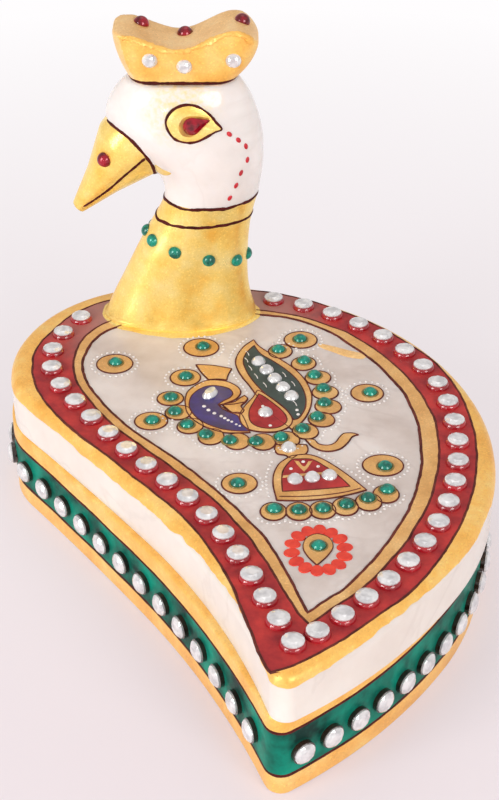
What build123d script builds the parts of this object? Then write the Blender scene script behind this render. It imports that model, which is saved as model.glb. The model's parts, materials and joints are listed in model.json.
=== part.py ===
"""Kumkum box: a mango-shaped marble box whose lid, with a bird on it, swivels on a rod under the neck."""
import os
from math import acos, cos, radians, sin

from build123d import *

os.makedirs("parts", exist_ok=True)

# Box heights, in millimetres
base_height = 18.4
lid_thickness = 10.2
lid_edge_radius = 2.2
base_edge_radius = 0.7
lid_top = base_height + lid_thickness

# Pivot axis, upright under the bird's neck
pivot_x = -13.6
pivot_y = 49.8
closed_turn = 1.4  # degrees that the closed lid stands turned on the base

# Mango outline: a round end, and flanks of tangent arcs that meet at the tip
round_x = -18.2
round_y = 30.6
round_radius = 31.4
round_start = 99.6
round_sweep = 92.6
left_shoulder = (-45.6, 17.2)
left_waist = (-19.1, -16.4)
right_belly = (38.4, -30.7)
lid_tip = (4.4, -64.3)
base_tip = (4.0, -63.4)  # the base's flanks stand turned, and its tip lies under the lid's
tip_radius = 3.0

# Powder wells in the base
kumkum_well = (-11.0, 17.0)
kumkum_well_radius = 18.0
turmeric_well = (24.0, 9.0)
turmeric_well_radius = 14.0
rice_well = (12.0, -26.0)
rice_well_radius = 13.0
well_depth = 13.0
well_floor_radius = 3.0

# Swivel: a rod glued into lid and neck, held under the base by a washer and a nut
rod_diameter = 5.0
rod_in_neck = 14.0
rod_running_clearance = 0.06
rod_glue_clearance = 0.05
rod_end = 0.8
nut_across_flats = 8.0
nut_thickness = 4.0
washer_diameter = 10.0
washer_thickness = 1.0
washer_hole_clearance = 0.25
nut_recess_diameter = 13.0
nut_recess_foot = 1.6  # room left between the rod's end and the table

# Bird: level sections by their height above the lid's top, their middle along x from the pivot,
# their length along x and their depth along y
foot_shift, foot_length, foot_depth = -1.5, 33.2, 17.0
skirt_height, skirt_shift, skirt_length, skirt_depth = 4.4, -0.9, 30.2, 15.9
neck_height, neck_shift, neck_length, neck_depth = 9.4, -0.1, 27.0, 14.8
nape_height, nape_shift, nape_length, nape_depth = 16.6, 1.6, 23.6, 14.2
collar_height, collar_shift, collar_length, collar_depth = 24.0, 3.9, 20.4, 13.8
throat_height, throat_shift, throat_length, throat_depth = 30.0, 5.8, 19.4, 15.2
cheek_height, cheek_shift, cheek_length, cheek_depth = 38.0, 4.4, 24.4, 17.8
brow_height, brow_shift, brow_length, brow_depth = 46.5, 0.3, 31.0, 18.4
crown_height, crown_shift, crown_length, crown_depth = 53.0, 0.0, 26.6, 15.6
head_height, head_shift, head_length, head_depth = 55.6, 0.4, 21.8, 12.6

# Beak: a tapering hook that slopes down from the face
beak_slope = 50.7  # degrees below level
beak_root_shift = -10.8
beak_root_height = 39.9
beak_length = 17.9
beak_root_width, beak_root_depth = 14.4, 15.4
beak_middle = 9.0
beak_middle_width, beak_middle_depth = 9.2, 8.2
beak_tip_width, beak_tip_depth = 3.4, 3.0
beak_buried = 4.0

# Crest: a rounded block that flares from its foot, with a top that dips between two lobes
crest_foot_length, crest_foot_depth = 20.4, 10.6
crest_belly_height, crest_belly_shift, crest_belly_length, crest_belly_depth = 7.0, 1.0, 28.0, 12.6
crest_top_height, crest_top_shift, crest_top_length, crest_top_depth = 13.0, 0.6, 28.6, 12.8
crest_corner_radius = 4.4
crest_front_lobe, crest_front_height = -10.6, 10.5
crest_front_fall = 0.6
crest_dip, crest_dip_height = 0.2, 7.6
crest_rear_lobe, crest_rear_height = 9.8, 11.3
crest_rear_fall = 5.4
crest_margin = 1.3  # how far the line of the lobes runs past the block

# Set stones: clear ones are faceted, coloured ones are domes
border_stone_diameter = 4.0
border_stone_height = 1.6
border_start = -0.9  # where the first stone stands along the border's path, at the tip
border_pitch = 6.0  # between the first stones
border_growth = 0.055  # how much wider each gap is than the one before it
border_foot_gap = 1.6
cabochon_diameter = 2.7
cabochon_height = 1.3
clear_stone_diameter = 3.0
clear_stone_height = 1.2
red_cabochon_diameter = 3.1
red_cabochon_height = 1.6
girdle_height = 0.4
table_share = 0.6  # width of a faceted stone's table, as a share of its own width
seat_depth = 0.35
seat_clearance = 0.05
seat_cut = 1.4  # height of the cut that opens a seat, from its floor

# The border's path: its distance in from the lid's edge, at even steps round the edge from the tip
border_insets = (7.3, 6.2, 6.6, 7.3, 6.8, 5.2, 4.7, 4.7, 5.0, 5.6, 7.4, 8.4, 6.7, 5.7, 6.6, 5.4)

# Studs round the base: a glass stone bedded on a disc of dark lac
stud_height = 9.3
stud_right_pitch, stud_right_gap = 6.25, 4.9  # the gap is from the tip to the first stud
stud_left_pitch, stud_left_gap = 7.3, 7.6
stud_bed_diameter = 4.6
stud_bed_height = 1.3
stud_stone_diameter = 4.2
stud_stone_height = 0.9

# Stones on the bird
neck_stone_count = 10
neck_stone_height = 17.7
neck_stone_tilt = 0.24  # rise towards the front, in millimetres for each millimetre
beak_stone_shift = -15.8
beak_stone_height = 39.4
eye_shift = 2.3
eye_height = 48.6
eye_radius = 1.75
eye_length = 5.6
eye_thickness = 1.3
eye_tilt = 18.0  # degrees that the stone's point stands up
# The crest's clear stones by their shift and height, its red ones by their shift and how far back they stand
crest_clear_places = ((-6.1, 5.6), (0.6, 4.3), (10.2, 5.6))
crest_red_places = ((-8.0, 3.2), (0.5, 3.2), (12.0, 1.2))

# Stones of the painted peacock and the field round it
roundel_places = [(-27.8, 29.7), (-9.7, 35.8), (-13.0, 24.5), (-19.2, 9.0),
                  (10.9, 38.6), (24.6, 18.7), (26.0, -6.0), (-2.1, -11.3)]
tail_middle = (-0.2, 17.5)
tail_radius = 15.6
tail_count = 12
tail_start = 181.8
tail_sweep = 206.7
tail_tip_places = [(11.5, 30.3), (6.2, 34.5)]
wing_start, wing_end, wing_count = (2.0, 29.8), (8.6, 17.2), 5
head_stone_place = (-7.9, 18.0)
head_stone_length, head_stone_width, head_stone_turn = 4.0, 2.6, 55.0
drop_place = (3.3, 11.5)
pendant_place = (7.7, -0.2)
bell_start, bell_end, bell_count = (8.7, -10.2), (15.2, -9.0), 3
fringe_start, fringe_middle, fringe_end = (4.7, -19.0), (16.2, -18.2), (25.9, -13.2)
fringe_count = 6
flower_place = (12.5, -29.5)


def mango(tip, turn):
    """The outline's face, with its body turned about the pivot and its tip at the given place."""
    pivot = Vector(pivot_x, pivot_y)

    def place(point):
        return (Vector(*point) - pivot).rotate(Axis.Z, turn) + pivot

    with BuildSketch() as outline:
        with BuildLine():
            end = CenterArc(place((round_x, round_y)), round_radius, round_start + turn, round_sweep)
            shoulder = TangentArc(end @ 1, place(left_shoulder), tangent=end % 1)
            flank = TangentArc(shoulder @ 1, place(left_waist), tangent=shoulder % 1)
            TangentArc(flank @ 1, tip, tangent=flank % 1)
            belly = TangentArc(end @ 0, place(right_belly), tangent=-(end % 0))
            TangentArc(belly @ 1, tip, tangent=belly % 1)
        make_face()
        fillet(outline.vertices().sort_by(Axis.Y)[0], tip_radius)
    return outline.face()


def strung(wire, start, gap, pitch, way, growth=0.0):
    """Distances along a closed wire, strung one way from the start to the far side of the wire."""
    stops = []
    while gap < (wire.length - pitch) / 2:
        stops.append((start + way * gap) % wire.length)
        gap += pitch
        pitch += growth
    return stops


def closed_row(wire, ahead, behind, widest_gap):
    """Both strings of a row, and one more in the middle of a wide gap that they leave at the far side."""
    gap = (behind[-1] - ahead[-1]) % wire.length
    if gap > widest_gap:
        return ahead + [(ahead[-1] + gap / 2) % wire.length] + behind
    return ahead + behind


def tip_distance(wire, tip):
    """Distance along a mango-shaped wire to the point nearest its tip."""
    nearest = wire.closest_points(Vector(*tip))[0]
    return wire.param_at_point(nearest) * wire.length


def along(wire, distance):
    """The point at a distance along a wire."""
    return wire.position_at(distance, position_mode=PositionMode.LENGTH)


def outward(face, distance):
    """The level direction straight out of a face's edge, at a distance along that edge."""
    edge = face.outer_wire()
    normal = edge.tangent_at(distance, position_mode=PositionMode.LENGTH).cross(Vector(0, 0, 1))
    return -normal if face.is_inside(along(edge, distance) + normal * seat_depth) else normal


def row(start, end, count):
    """Evenly spaced points on a straight line."""
    first, last = Vector(*start), Vector(*end)
    return [first + (last - first) * (index / (count - 1)) for index in range(count)]


def on_lid(points):
    """Places on the lid's top."""
    return [Location(Vector(*point) + Vector(0, 0, lid_top)) for point in points]


def seat(part, start, direction, x_dir=None):
    """A plane sunk by the seat's depth under the part's outer face, where a ray from the start leaves it."""
    ray = Axis(start, direction)
    hits = [hit for face in part.faces() for hit in face.find_intersection_points(ray)]
    point, normal = max(hits, key=lambda hit: (hit[0] - ray.position).dot(ray.direction))
    if normal.dot(ray.direction) < 0:
        normal = -normal
    return Plane(point - normal * seat_depth, x_dir=x_dir, z_dir=normal)


def dome(diameter, height):
    """A cabochon with a flat back on the ground plane."""
    with BuildPart() as stone:
        with BuildSketch(Plane.XZ):
            with BuildLine():
                side = Line((diameter / 2, 0), (diameter / 2, girdle_height))
                top = TangentArc((0, height), side @ 1, tangent=(1, 0))
                Polyline(top @ 0, (0, 0), side @ 0)
            make_face()
        revolve(axis=Axis.Z)
    return stone.part


def faceted(diameter, height):
    """A flat-backed stone with a sloping crown and a flat table."""
    with BuildPart() as stone:
        with BuildSketch():
            Circle(diameter / 2)
        extrude(amount=height)
        chamfer(stone.faces().sort_by(Axis.Z)[-1].edges(), height - girdle_height,
                diameter * (1 - table_share) / 2)
    return stone.part


def pear(margin):
    """The eye stone's outline, round in front and pointed behind."""
    radius = eye_radius + margin
    point = eye_length - eye_radius + margin
    touch = acos(radius / point)
    upper = (radius * cos(touch), radius * sin(touch))
    lower = (radius * cos(touch), -radius * sin(touch))
    with BuildSketch() as outline:
        with BuildLine():
            ThreePointArc(upper, (-radius, 0), lower)
            Polyline(lower, (point, 0), upper)
        make_face()
    return outline.face()


lid_outline = mango(lid_tip, 0)
base_outline = mango(base_tip, -closed_turn)
recess_depth = nut_recess_foot + rod_end + nut_thickness + washer_thickness

# Places of the studs round the base, each looking straight out of the wall
base_edge = base_outline.outer_wire()
stud_start = tip_distance(base_edge, base_tip)
right_studs = strung(base_edge, stud_start, stud_right_gap, stud_right_pitch, 1)
left_studs = strung(base_edge, stud_start, stud_left_gap, stud_left_pitch, -1)
stud_planes = []
for distance in closed_row(base_edge, right_studs, left_studs, 2 * stud_right_pitch):
    facing = outward(base_outline, distance)
    seat_floor = along(base_edge, distance) - facing * seat_depth + Vector(0, 0, stud_height)
    stud_planes.append(Plane(seat_floor, z_dir=facing))
stud_places = [Location(plane) for plane in stud_planes]
stud_stone_places = [Location(plane.offset(stud_bed_height)) for plane in stud_planes]

# Base with its wells, the bore for the rod and the recess for the nut
with BuildPart() as base_body:
    with BuildSketch():
        add(base_outline)
    extrude(amount=base_height)
    fillet(base_body.faces().sort_by(Axis.Z)[0].edges(), base_edge_radius)
    fillet(base_body.faces().sort_by(Axis.Z)[-1].edges(), base_edge_radius)
    with BuildSketch(Plane.XY.offset(base_height - well_depth)):
        for place, radius in ((kumkum_well, kumkum_well_radius), (turmeric_well, turmeric_well_radius),
                              (rice_well, rice_well_radius)):
            with Locations(place):
                Circle(radius)
    extrude(amount=well_depth, mode=Mode.SUBTRACT)
    fillet(base_body.edges(Select.LAST).group_by(Axis.Z)[0], well_floor_radius)
    with Locations((pivot_x, pivot_y, base_height)):
        Hole(rod_diameter / 2 + rod_running_clearance, depth=base_height)
    with Locations((pivot_x, pivot_y, 0)):
        Cylinder(nut_recess_diameter / 2, recess_depth, mode=Mode.SUBTRACT,
                 align=(Align.CENTER, Align.CENTER, Align.MIN))
    with Locations(*stud_places):
        Cylinder(stud_bed_diameter / 2 + seat_clearance, stud_bed_height, mode=Mode.SUBTRACT,
                 align=(Align.CENTER, Align.CENTER, Align.MIN))

# Lid slab with a rounded top edge
with BuildPart() as lid_slab:
    with BuildSketch(Plane.XY.offset(base_height)):
        add(lid_outline)
    extrude(amount=lid_thickness)
    fillet(lid_slab.faces().sort_by(Axis.Z)[-1].edges(), lid_edge_radius)
    with Locations((pivot_x, pivot_y, lid_top)):
        Hole(rod_diameter / 2 + rod_glue_clearance, depth=lid_thickness)

# The bird's plain form: a lofted neck and head, and a lofted beak
bird_sections = [(0, foot_shift, foot_length, foot_depth),
                 (skirt_height, skirt_shift, skirt_length, skirt_depth),
                 (neck_height, neck_shift, neck_length, neck_depth),
                 (nape_height, nape_shift, nape_length, nape_depth),
                 (collar_height, collar_shift, collar_length, collar_depth),
                 (throat_height, throat_shift, throat_length, throat_depth),
                 (cheek_height, cheek_shift, cheek_length, cheek_depth),
                 (brow_height, brow_shift, brow_length, brow_depth),
                 (crown_height, crown_shift, crown_length, crown_depth),
                 (head_height, head_shift, head_length, head_depth)]
beak_axis = Vector(-cos(radians(beak_slope)), 0, -sin(radians(beak_slope)))
beak_root = Vector(pivot_x + beak_root_shift, pivot_y, lid_top + beak_root_height)
beak_sections = [(-beak_buried, beak_root_width, beak_root_depth),
                 (0, beak_root_width, beak_root_depth),
                 (beak_middle, beak_middle_width, beak_middle_depth),
                 (beak_length, beak_tip_width, beak_tip_depth)]
with BuildPart() as bird_form:
    for height, shift, length, depth in bird_sections:
        with BuildSketch(Plane((pivot_x + shift, pivot_y, lid_top + height))):
            Ellipse(length / 2, depth / 2)
    loft()
    for distance, width, depth in beak_sections:
        with BuildSketch(Plane(beak_root + beak_axis * distance, x_dir=(0, 1, 0), z_dir=beak_axis)):
            Ellipse(width / 2, depth / 2)
    loft(ruled=True)

# Crest on the head's flat top: a flaring block, cut along the line of its lobes
crest_x = pivot_x + head_shift
crest_bottom = lid_top + head_height
crest_sections = [(0, 0, crest_foot_length, crest_foot_depth),
                  (crest_belly_height, crest_belly_shift, crest_belly_length, crest_belly_depth),
                  (crest_top_height, crest_top_shift, crest_top_length, crest_top_depth)]
crest_reach = max(abs(shift) + length / 2 for _, shift, length, _ in crest_sections) + crest_margin
with BuildPart() as crest_form:
    for height, shift, length, depth in crest_sections:
        with BuildSketch(Plane((crest_x + shift, pivot_y, crest_bottom + height))):
            RectangleRounded(length, depth, crest_corner_radius)
    loft()
    with BuildSketch(Plane((crest_x, pivot_y, crest_bottom), x_dir=(1, 0, 0), z_dir=(0, -1, 0))):
        with BuildLine():
            front_end = (-crest_reach, crest_front_height - crest_front_fall)
            rear_end = (crest_reach, crest_rear_height - crest_rear_fall)
            Spline(front_end, (crest_front_lobe, crest_front_height), (crest_dip, crest_dip_height),
                   (crest_rear_lobe, crest_rear_height), rear_end)
            over_top = crest_top_height + crest_margin
            Polyline(front_end, (front_end[0], over_top), (rear_end[0], over_top), rear_end)
        make_face()
    extrude(amount=crest_top_depth, both=True, mode=Mode.SUBTRACT)

# Places of the stones on the bird and the crest
neck_seats = []
for index in range(neck_stone_count):
    angle = radians(360 * index / neck_stone_count)
    reach = (nape_length * cos(angle) / 2, nape_depth * sin(angle) / 2, 0)
    height = neck_stone_height - neck_stone_tilt * reach[0]
    neck_seats.append(seat(bird_form.part, (pivot_x + nape_shift, pivot_y, lid_top + height), reach))
sides = ((0, -1, 0), (0, 1, 0))
beak_seats = [seat(bird_form.part, (pivot_x + beak_stone_shift, pivot_y, lid_top + beak_stone_height), side)
              for side in sides]
eye_point = (cos(radians(eye_tilt)), 0, sin(radians(eye_tilt)))
eye_seats = [seat(bird_form.part, (pivot_x + eye_shift, pivot_y, lid_top + eye_height), side, x_dir=eye_point)
             for side in sides]
crest_clear_seats = [seat(crest_form.part, (crest_x + shift, pivot_y, crest_bottom + height), side)
                     for side in sides for shift, height in crest_clear_places]
crest_red_seats = [seat(crest_form.part, (crest_x + shift, pivot_y + back, crest_bottom), (0, 0, 1))
                   for shift, back in crest_red_places]


def drill(planes, diameter):
    """Cuts flat-floored seats for stones into the active part."""
    with Locations(*[Location(plane) for plane in planes]):
        Cylinder(diameter / 2 + seat_clearance, seat_cut, mode=Mode.SUBTRACT,
                 align=(Align.CENTER, Align.CENTER, Align.MIN))


with BuildPart() as bird:
    add(bird_form.part)
    with Locations((pivot_x, pivot_y, lid_top)):
        Cylinder(rod_diameter / 2 + rod_glue_clearance, rod_in_neck, mode=Mode.SUBTRACT,
                 align=(Align.CENTER, Align.CENTER, Align.MIN))
    drill(neck_seats, cabochon_diameter)
    drill(beak_seats, red_cabochon_diameter)
    for plane in eye_seats:
        with BuildSketch(plane):
            add(pear(seat_clearance))
        extrude(amount=eye_thickness, mode=Mode.SUBTRACT)

with BuildPart() as crest:
    add(crest_form.part)
    drill(crest_clear_seats, clear_stone_diameter)
    drill(crest_red_seats, red_cabochon_diameter)

# Rod, washer and nut
rod_bottom = nut_recess_foot
with BuildPart() as pivot_rod:
    with BuildSketch(Plane((pivot_x, pivot_y, rod_bottom))):
        Circle(rod_diameter / 2)
    extrude(amount=lid_top + rod_in_neck - rod_bottom)
with BuildPart() as pivot_washer:
    with BuildSketch(Plane((pivot_x, pivot_y, recess_depth - washer_thickness))):
        Circle(washer_diameter / 2)
        Circle(rod_diameter / 2 + washer_hole_clearance, mode=Mode.SUBTRACT)
    extrude(amount=washer_thickness)
with BuildPart() as pivot_nut:
    with BuildSketch(Plane((pivot_x, pivot_y, recess_depth - washer_thickness - nut_thickness))):
        RegularPolygon(nut_across_flats / 2, 6, major_radius=False)
        Circle(rod_diameter / 2, mode=Mode.SUBTRACT)
    extrude(amount=nut_thickness)

# Stones of the base's studs on their lac beds
stud_stone = dome(stud_stone_diameter, stud_stone_height)
with BuildPart() as stud_lac_beds:
    with Locations(*stud_places):
        Cylinder(stud_bed_diameter / 2, stud_bed_height, align=(Align.CENTER, Align.CENTER, Align.MIN))
with BuildPart() as stud_stones:
    with Locations(*stud_stone_places):
        add(stud_stone)

# Stones of the lid's border, left out where the neck stands
border_stone = faceted(border_stone_diameter, border_stone_height)
lid_edge = lid_outline.outer_wire()
path_start = tip_distance(lid_edge, lid_tip)
path_points = []
for index, inset in enumerate(border_insets):
    distance = (path_start + index * lid_edge.length / len(border_insets)) % lid_edge.length
    path_points.append(along(lid_edge, distance) - outward(lid_outline, distance) * inset)
with BuildLine() as border_line:
    Spline(*path_points, path_points[0])
border_path = border_line.wire()
foot_reach = border_stone_diameter / 2 + border_foot_gap
border_stops = strung(border_path, border_start, 0, border_pitch, 1, border_growth)
border_stops += strung(border_path, border_start, border_pitch, border_pitch + border_growth, -1, border_growth)
border_points = []
for distance in border_stops:
    point = along(border_path, distance)
    across = (point.X - pivot_x - foot_shift) / (foot_length / 2 + foot_reach)
    back = (point.Y - pivot_y) / (foot_depth / 2 + foot_reach)
    if across ** 2 + back ** 2 > 1:
        border_points.append((point.X, point.Y))
with BuildPart() as lid_border_stones:
    with Locations(*on_lid(border_points)):
        add(border_stone)

# Stones on the bird and its crest
green_stone = dome(cabochon_diameter, cabochon_height)
red_stone = dome(red_cabochon_diameter, red_cabochon_height)
clear_stone = faceted(clear_stone_diameter, clear_stone_height)
with BuildPart() as neck_green_stones:
    with Locations(*[Location(plane) for plane in neck_seats]):
        add(green_stone)
with BuildPart() as beak_red_stones:
    with Locations(*[Location(plane) for plane in beak_seats]):
        add(red_stone)
with BuildPart() as eye_stones:
    for plane in eye_seats:
        with BuildSketch(plane):
            add(pear(0))
        extrude(amount=eye_thickness)
with BuildPart() as crest_clear_stones:
    with Locations(*[Location(plane) for plane in crest_clear_seats]):
        add(clear_stone)
with BuildPart() as crest_red_stones:
    with Locations(*[Location(plane) for plane in crest_red_seats]):
        add(red_stone)

# Stones of the painted field and its peacock
tail_points = []
for index in range(tail_count):
    angle = radians(tail_start + tail_sweep * index / (tail_count - 1))
    tail_points.append((tail_middle[0] + tail_radius * cos(angle), tail_middle[1] + tail_radius * sin(angle)))
with BuildLine() as fringe_line:
    ThreePointArc(fringe_start, fringe_middle, fringe_end)
fringe_points = [fringe_line.line @ (index / (fringe_count - 1)) for index in range(fringe_count)]
with BuildPart() as roundel_green_stones:
    with Locations(*on_lid(roundel_places)):
        add(green_stone)
with BuildPart() as tail_green_stones:
    with Locations(*on_lid(tail_points + tail_tip_places)):
        add(green_stone)
with BuildPart() as fringe_green_stones:
    with Locations(*on_lid(fringe_points)):
        add(green_stone)
with BuildPart() as flower_green_stone:
    with Locations(*on_lid([flower_place])):
        add(green_stone)
with BuildPart() as wing_clear_stones:
    with Locations(*on_lid(row(wing_start, wing_end, wing_count))):
        add(clear_stone)
with BuildPart() as bell_clear_stones:
    with Locations(*on_lid(row(bell_start, bell_end, bell_count))):
        add(clear_stone)
with BuildPart() as drop_clear_stone:
    with Locations(*on_lid([drop_place])):
        add(clear_stone)
with BuildPart() as pendant_clear_stone:
    with Locations(*on_lid([pendant_place])):
        add(clear_stone)
with BuildPart() as peacock_head_stone:
    with BuildSketch(Plane((*head_stone_place, lid_top))):
        Ellipse(head_stone_length / 2, head_stone_width / 2, rotation=head_stone_turn)
    extrude(amount=clear_stone_height)
    chamfer(peacock_head_stone.faces().sort_by(Axis.Z)[-1].edges(), clear_stone_height - girdle_height,
            head_stone_width * (1 - table_share) / 2)

pieces = {
    "base_body": base_body,
    "lid_slab": lid_slab,
    "bird": bird,
    "crest": crest,
    "pivot_rod": pivot_rod,
    "pivot_washer": pivot_washer,
    "pivot_nut": pivot_nut,
    "stud_lac_beds": stud_lac_beds,
    "stud_stones": stud_stones,
    "lid_border_stones": lid_border_stones,
    "neck_green_stones": neck_green_stones,
    "beak_red_stones": beak_red_stones,
    "eye_stones": eye_stones,
    "crest_clear_stones": crest_clear_stones,
    "crest_red_stones": crest_red_stones,
    "roundel_green_stones": roundel_green_stones,
    "tail_green_stones": tail_green_stones,
    "fringe_green_stones": fringe_green_stones,
    "flower_green_stone": flower_green_stone,
    "wing_clear_stones": wing_clear_stones,
    "bell_clear_stones": bell_clear_stones,
    "drop_clear_stone": drop_clear_stone,
    "pendant_clear_stone": pendant_clear_stone,
    "peacock_head_stone": peacock_head_stone,
}
for name, piece in pieces.items():
    piece.part.label = name
    export_step(piece.part, f"parts/{name}.step")
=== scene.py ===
"""Looks of the kumkum box: polished marble, gold paint, painted colours and set glass stones."""
import itertools
import json
from math import atan2, cos, hypot, pi, radians, sin, tau

import bmesh
import bpy
import numpy as np
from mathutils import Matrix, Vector, noise
from mathutils.bvhtree import BVHTree
from mathutils.geometry import tessellate_polygon


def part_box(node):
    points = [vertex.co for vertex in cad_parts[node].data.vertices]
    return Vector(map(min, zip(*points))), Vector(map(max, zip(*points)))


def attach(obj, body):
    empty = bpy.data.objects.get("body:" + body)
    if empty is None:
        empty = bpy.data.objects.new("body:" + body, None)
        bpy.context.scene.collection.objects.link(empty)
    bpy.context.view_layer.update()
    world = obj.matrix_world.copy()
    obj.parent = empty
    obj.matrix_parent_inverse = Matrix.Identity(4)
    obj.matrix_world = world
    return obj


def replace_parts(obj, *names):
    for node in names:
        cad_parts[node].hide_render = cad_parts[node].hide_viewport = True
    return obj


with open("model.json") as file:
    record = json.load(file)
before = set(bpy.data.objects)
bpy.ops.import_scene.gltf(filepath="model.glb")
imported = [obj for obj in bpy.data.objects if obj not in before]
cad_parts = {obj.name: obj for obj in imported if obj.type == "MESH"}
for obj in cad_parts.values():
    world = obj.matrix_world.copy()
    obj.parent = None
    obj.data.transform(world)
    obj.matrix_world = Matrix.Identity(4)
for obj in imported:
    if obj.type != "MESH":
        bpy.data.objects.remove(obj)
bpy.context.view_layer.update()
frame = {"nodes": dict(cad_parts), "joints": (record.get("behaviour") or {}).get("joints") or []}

# Shapes are worked out in millimetres and turned to metres when a piece is made.
MM = 0.001
UP = Vector((0, 0, 1))
LID_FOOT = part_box("lid_slab")[0].z / MM
LID_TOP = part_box("lid_slab")[1].z / MM
PIVOT = Vector(frame["joints"][0]["pos_m"]) / MM
LID_EDGE_RADIUS = 2.2
BASE_EDGE_RADIUS = 0.7

# Painted loops have 16 stations from the tip counter-clockwise, with 30 steps between two of them.
STATIONS = 16
STEPS = 30
COUNT = STATIONS * STEPS

# Paint stands this far out of the stone, brush lines this far, and their closed shells reach into it.
PAINT = 0.1
LINE_HEIGHT = 0.2
SUNK = 0.12

# Edges that turn by more than this stay sharp.
SHARP_FROM = radians(34)

# The body and slot of each group of painted pieces
ON_LID = ("lid", "painted_marble_lid")
ON_BASE = ("base", "painted_marble_base")
ON_BIRD = ("lid", "painted_marble_bird")


# Smooth outlines

def smooth(points, steps=8, closed=False):
    """Points along a smooth curve through the given ones."""
    count = len(points)
    curve = []
    for i in range(count if closed else count - 1):
        if closed:
            near = [points[(i + k) % count] for k in (-1, 0, 1, 2)]
        else:
            near = [points[min(max(i + k, 0), count - 1)] for k in (-1, 0, 1, 2)]
        for step in range(steps):
            t = step / steps
            curve.append(tuple(
                0.5 * (2 * b + (c - a) * t + (2 * a - 5 * b + 4 * c - d) * t ** 2
                       + (3 * b - a - 3 * c + d) * t ** 3)
                for a, b, c, d in zip(*near)))
    if not closed:
        curve.append(tuple(points[-1]))
    return curve


def cornered(*strokes):
    """A closed outline of smooth strokes with a corner at the end of each.

    A stroke goes on from the end of the one before, and the last one closes at the first one's start.
    """
    path, here = [], []
    for points in strokes[:-1]:
        path += smooth(here + points)[:-1]
        here = points[-1:]
    return path + smooth(here + strokes[-1] + strokes[0][:1])[:-1]


def oval(centre, half_x, half_y, turn=0.0, count=36):
    path = []
    for k in range(count):
        x, y = half_x * cos(tau * k / count), half_y * sin(tau * k / count)
        path.append((centre[0] + x * cos(turn) - y * sin(turn), centre[1] + x * sin(turn) + y * cos(turn)))
    return path


def on_lid(path, lift=0.0):
    return [Vector((x, y, LID_TOP + lift)) for x, y in path]


# Closed shells: each function gives points in millimetres and faces

def ring_faces(count, low, high):
    """The faces between two rings of points, which start at low and high."""
    return [[low + k, low + (k + 1) % count, high + (k + 1) % count, high + k] for k in range(count)]


def patch(path, lift=PAINT, edge=0.08):
    """A flat patch of paint on the lid's top with a soft edge."""
    area = sum(a[0] * b[1] - a[1] * b[0] for a, b in zip(path, path[1:] + path[:1]))
    ring = list(path) if area > 0 else list(path)[::-1]
    count = len(ring)
    points = [Vector((x, y, LID_TOP - SUNK)) for x, y in ring]
    points += [Vector((x, y, LID_TOP + lift * 0.3)) for x, y in ring]
    for i, (x, y) in enumerate(ring):
        before, after = ring[i - 1], ring[(i + 1) % count]
        along = Vector((after[0] - before[0], after[1] - before[1]))
        inward = Vector((-along.y, along.x)).normalized() * edge
        points.append(Vector((x + inward.x, y + inward.y, LID_TOP + lift)))
    faces = ring_faces(count, 0, count) + ring_faces(count, count, 2 * count)
    for triangle in tessellate_polygon([points[2 * count:]]):
        faces.append([2 * count + corner for corner in triangle])
        faces.append(list(triangle)[::-1])
    return points, faces


def line(path, half_width, height, normals=None, closed=False, uneven=0.22):
    """A low rounded brush line along a path, of slightly uneven width."""
    count = len(path)
    profile = ((-1, -1), (-1, 0.2), (-0.6, 0.8), (0, 1), (0.6, 0.8), (1, 0.2), (1, -1))
    points = []
    for i, place in enumerate(path):
        if closed:
            along = path[(i + 1) % count] - path[i - 1]
        else:
            along = path[min(i + 1, count - 1)] - path[max(i - 1, 0)]
        normal = normals[i] if normals else UP
        side = along.cross(normal).normalized()
        width = half_width * (1 + uneven * noise.noise(place * 0.6)
                              + 0.6 * uneven * noise.noise(place * 2.1))
        if not closed and i in (0, count - 1):
            width *= 0.45
        for across, rise in profile:
            level = rise * height if rise > 0 else rise * SUNK
            points.append(place + side * across * width + normal * level)
    size = len(profile)
    faces = []
    for i in range(count if closed else count - 1):
        faces += ring_faces(size, i * size, (i + 1) % count * size)
    if not closed:
        faces.append(list(range(size))[::-1])
        faces.append([(count - 1) * size + k for k in range(size)])
    return points, faces


def dome(place, radius, height, normal=UP, stretch=1.0, along=None):
    """A drop of paint: a low dome with a round or oval foot."""
    count = 12
    first = (along or normal.orthogonal()).normalized()
    second = normal.cross(first).normalized()
    points = [place - normal * SUNK]
    for share, rise in ((1, -SUNK / height), (1, 0.12), (0.86, 0.55), (0.5, 0.88)):
        for k in range(count):
            reach = first * cos(tau * k / count) * stretch + second * sin(tau * k / count)
            points.append(place + reach * radius * share + normal * height * rise)
    points.append(place + normal * height)
    top = len(points) - 1
    faces = []
    for ring in range(3):
        faces += ring_faces(count, 1 + ring * count, 1 + (ring + 1) * count)
    for k in range(count):
        m = (k + 1) % count
        faces += [[0, 1 + m, 1 + k], [1 + 3 * count + k, 1 + 3 * count + m, top]]
    return points, faces


def hoop(loops):
    """A closed band whose section runs through the loops in order and back to the first."""
    count = len(loops[0])
    points = [point for loop in loops for point in loop]
    faces = []
    for level in range(len(loops)):
        faces += ring_faces(count, level * count, (level + 1) % len(loops) * count)
    return points, faces


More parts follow.
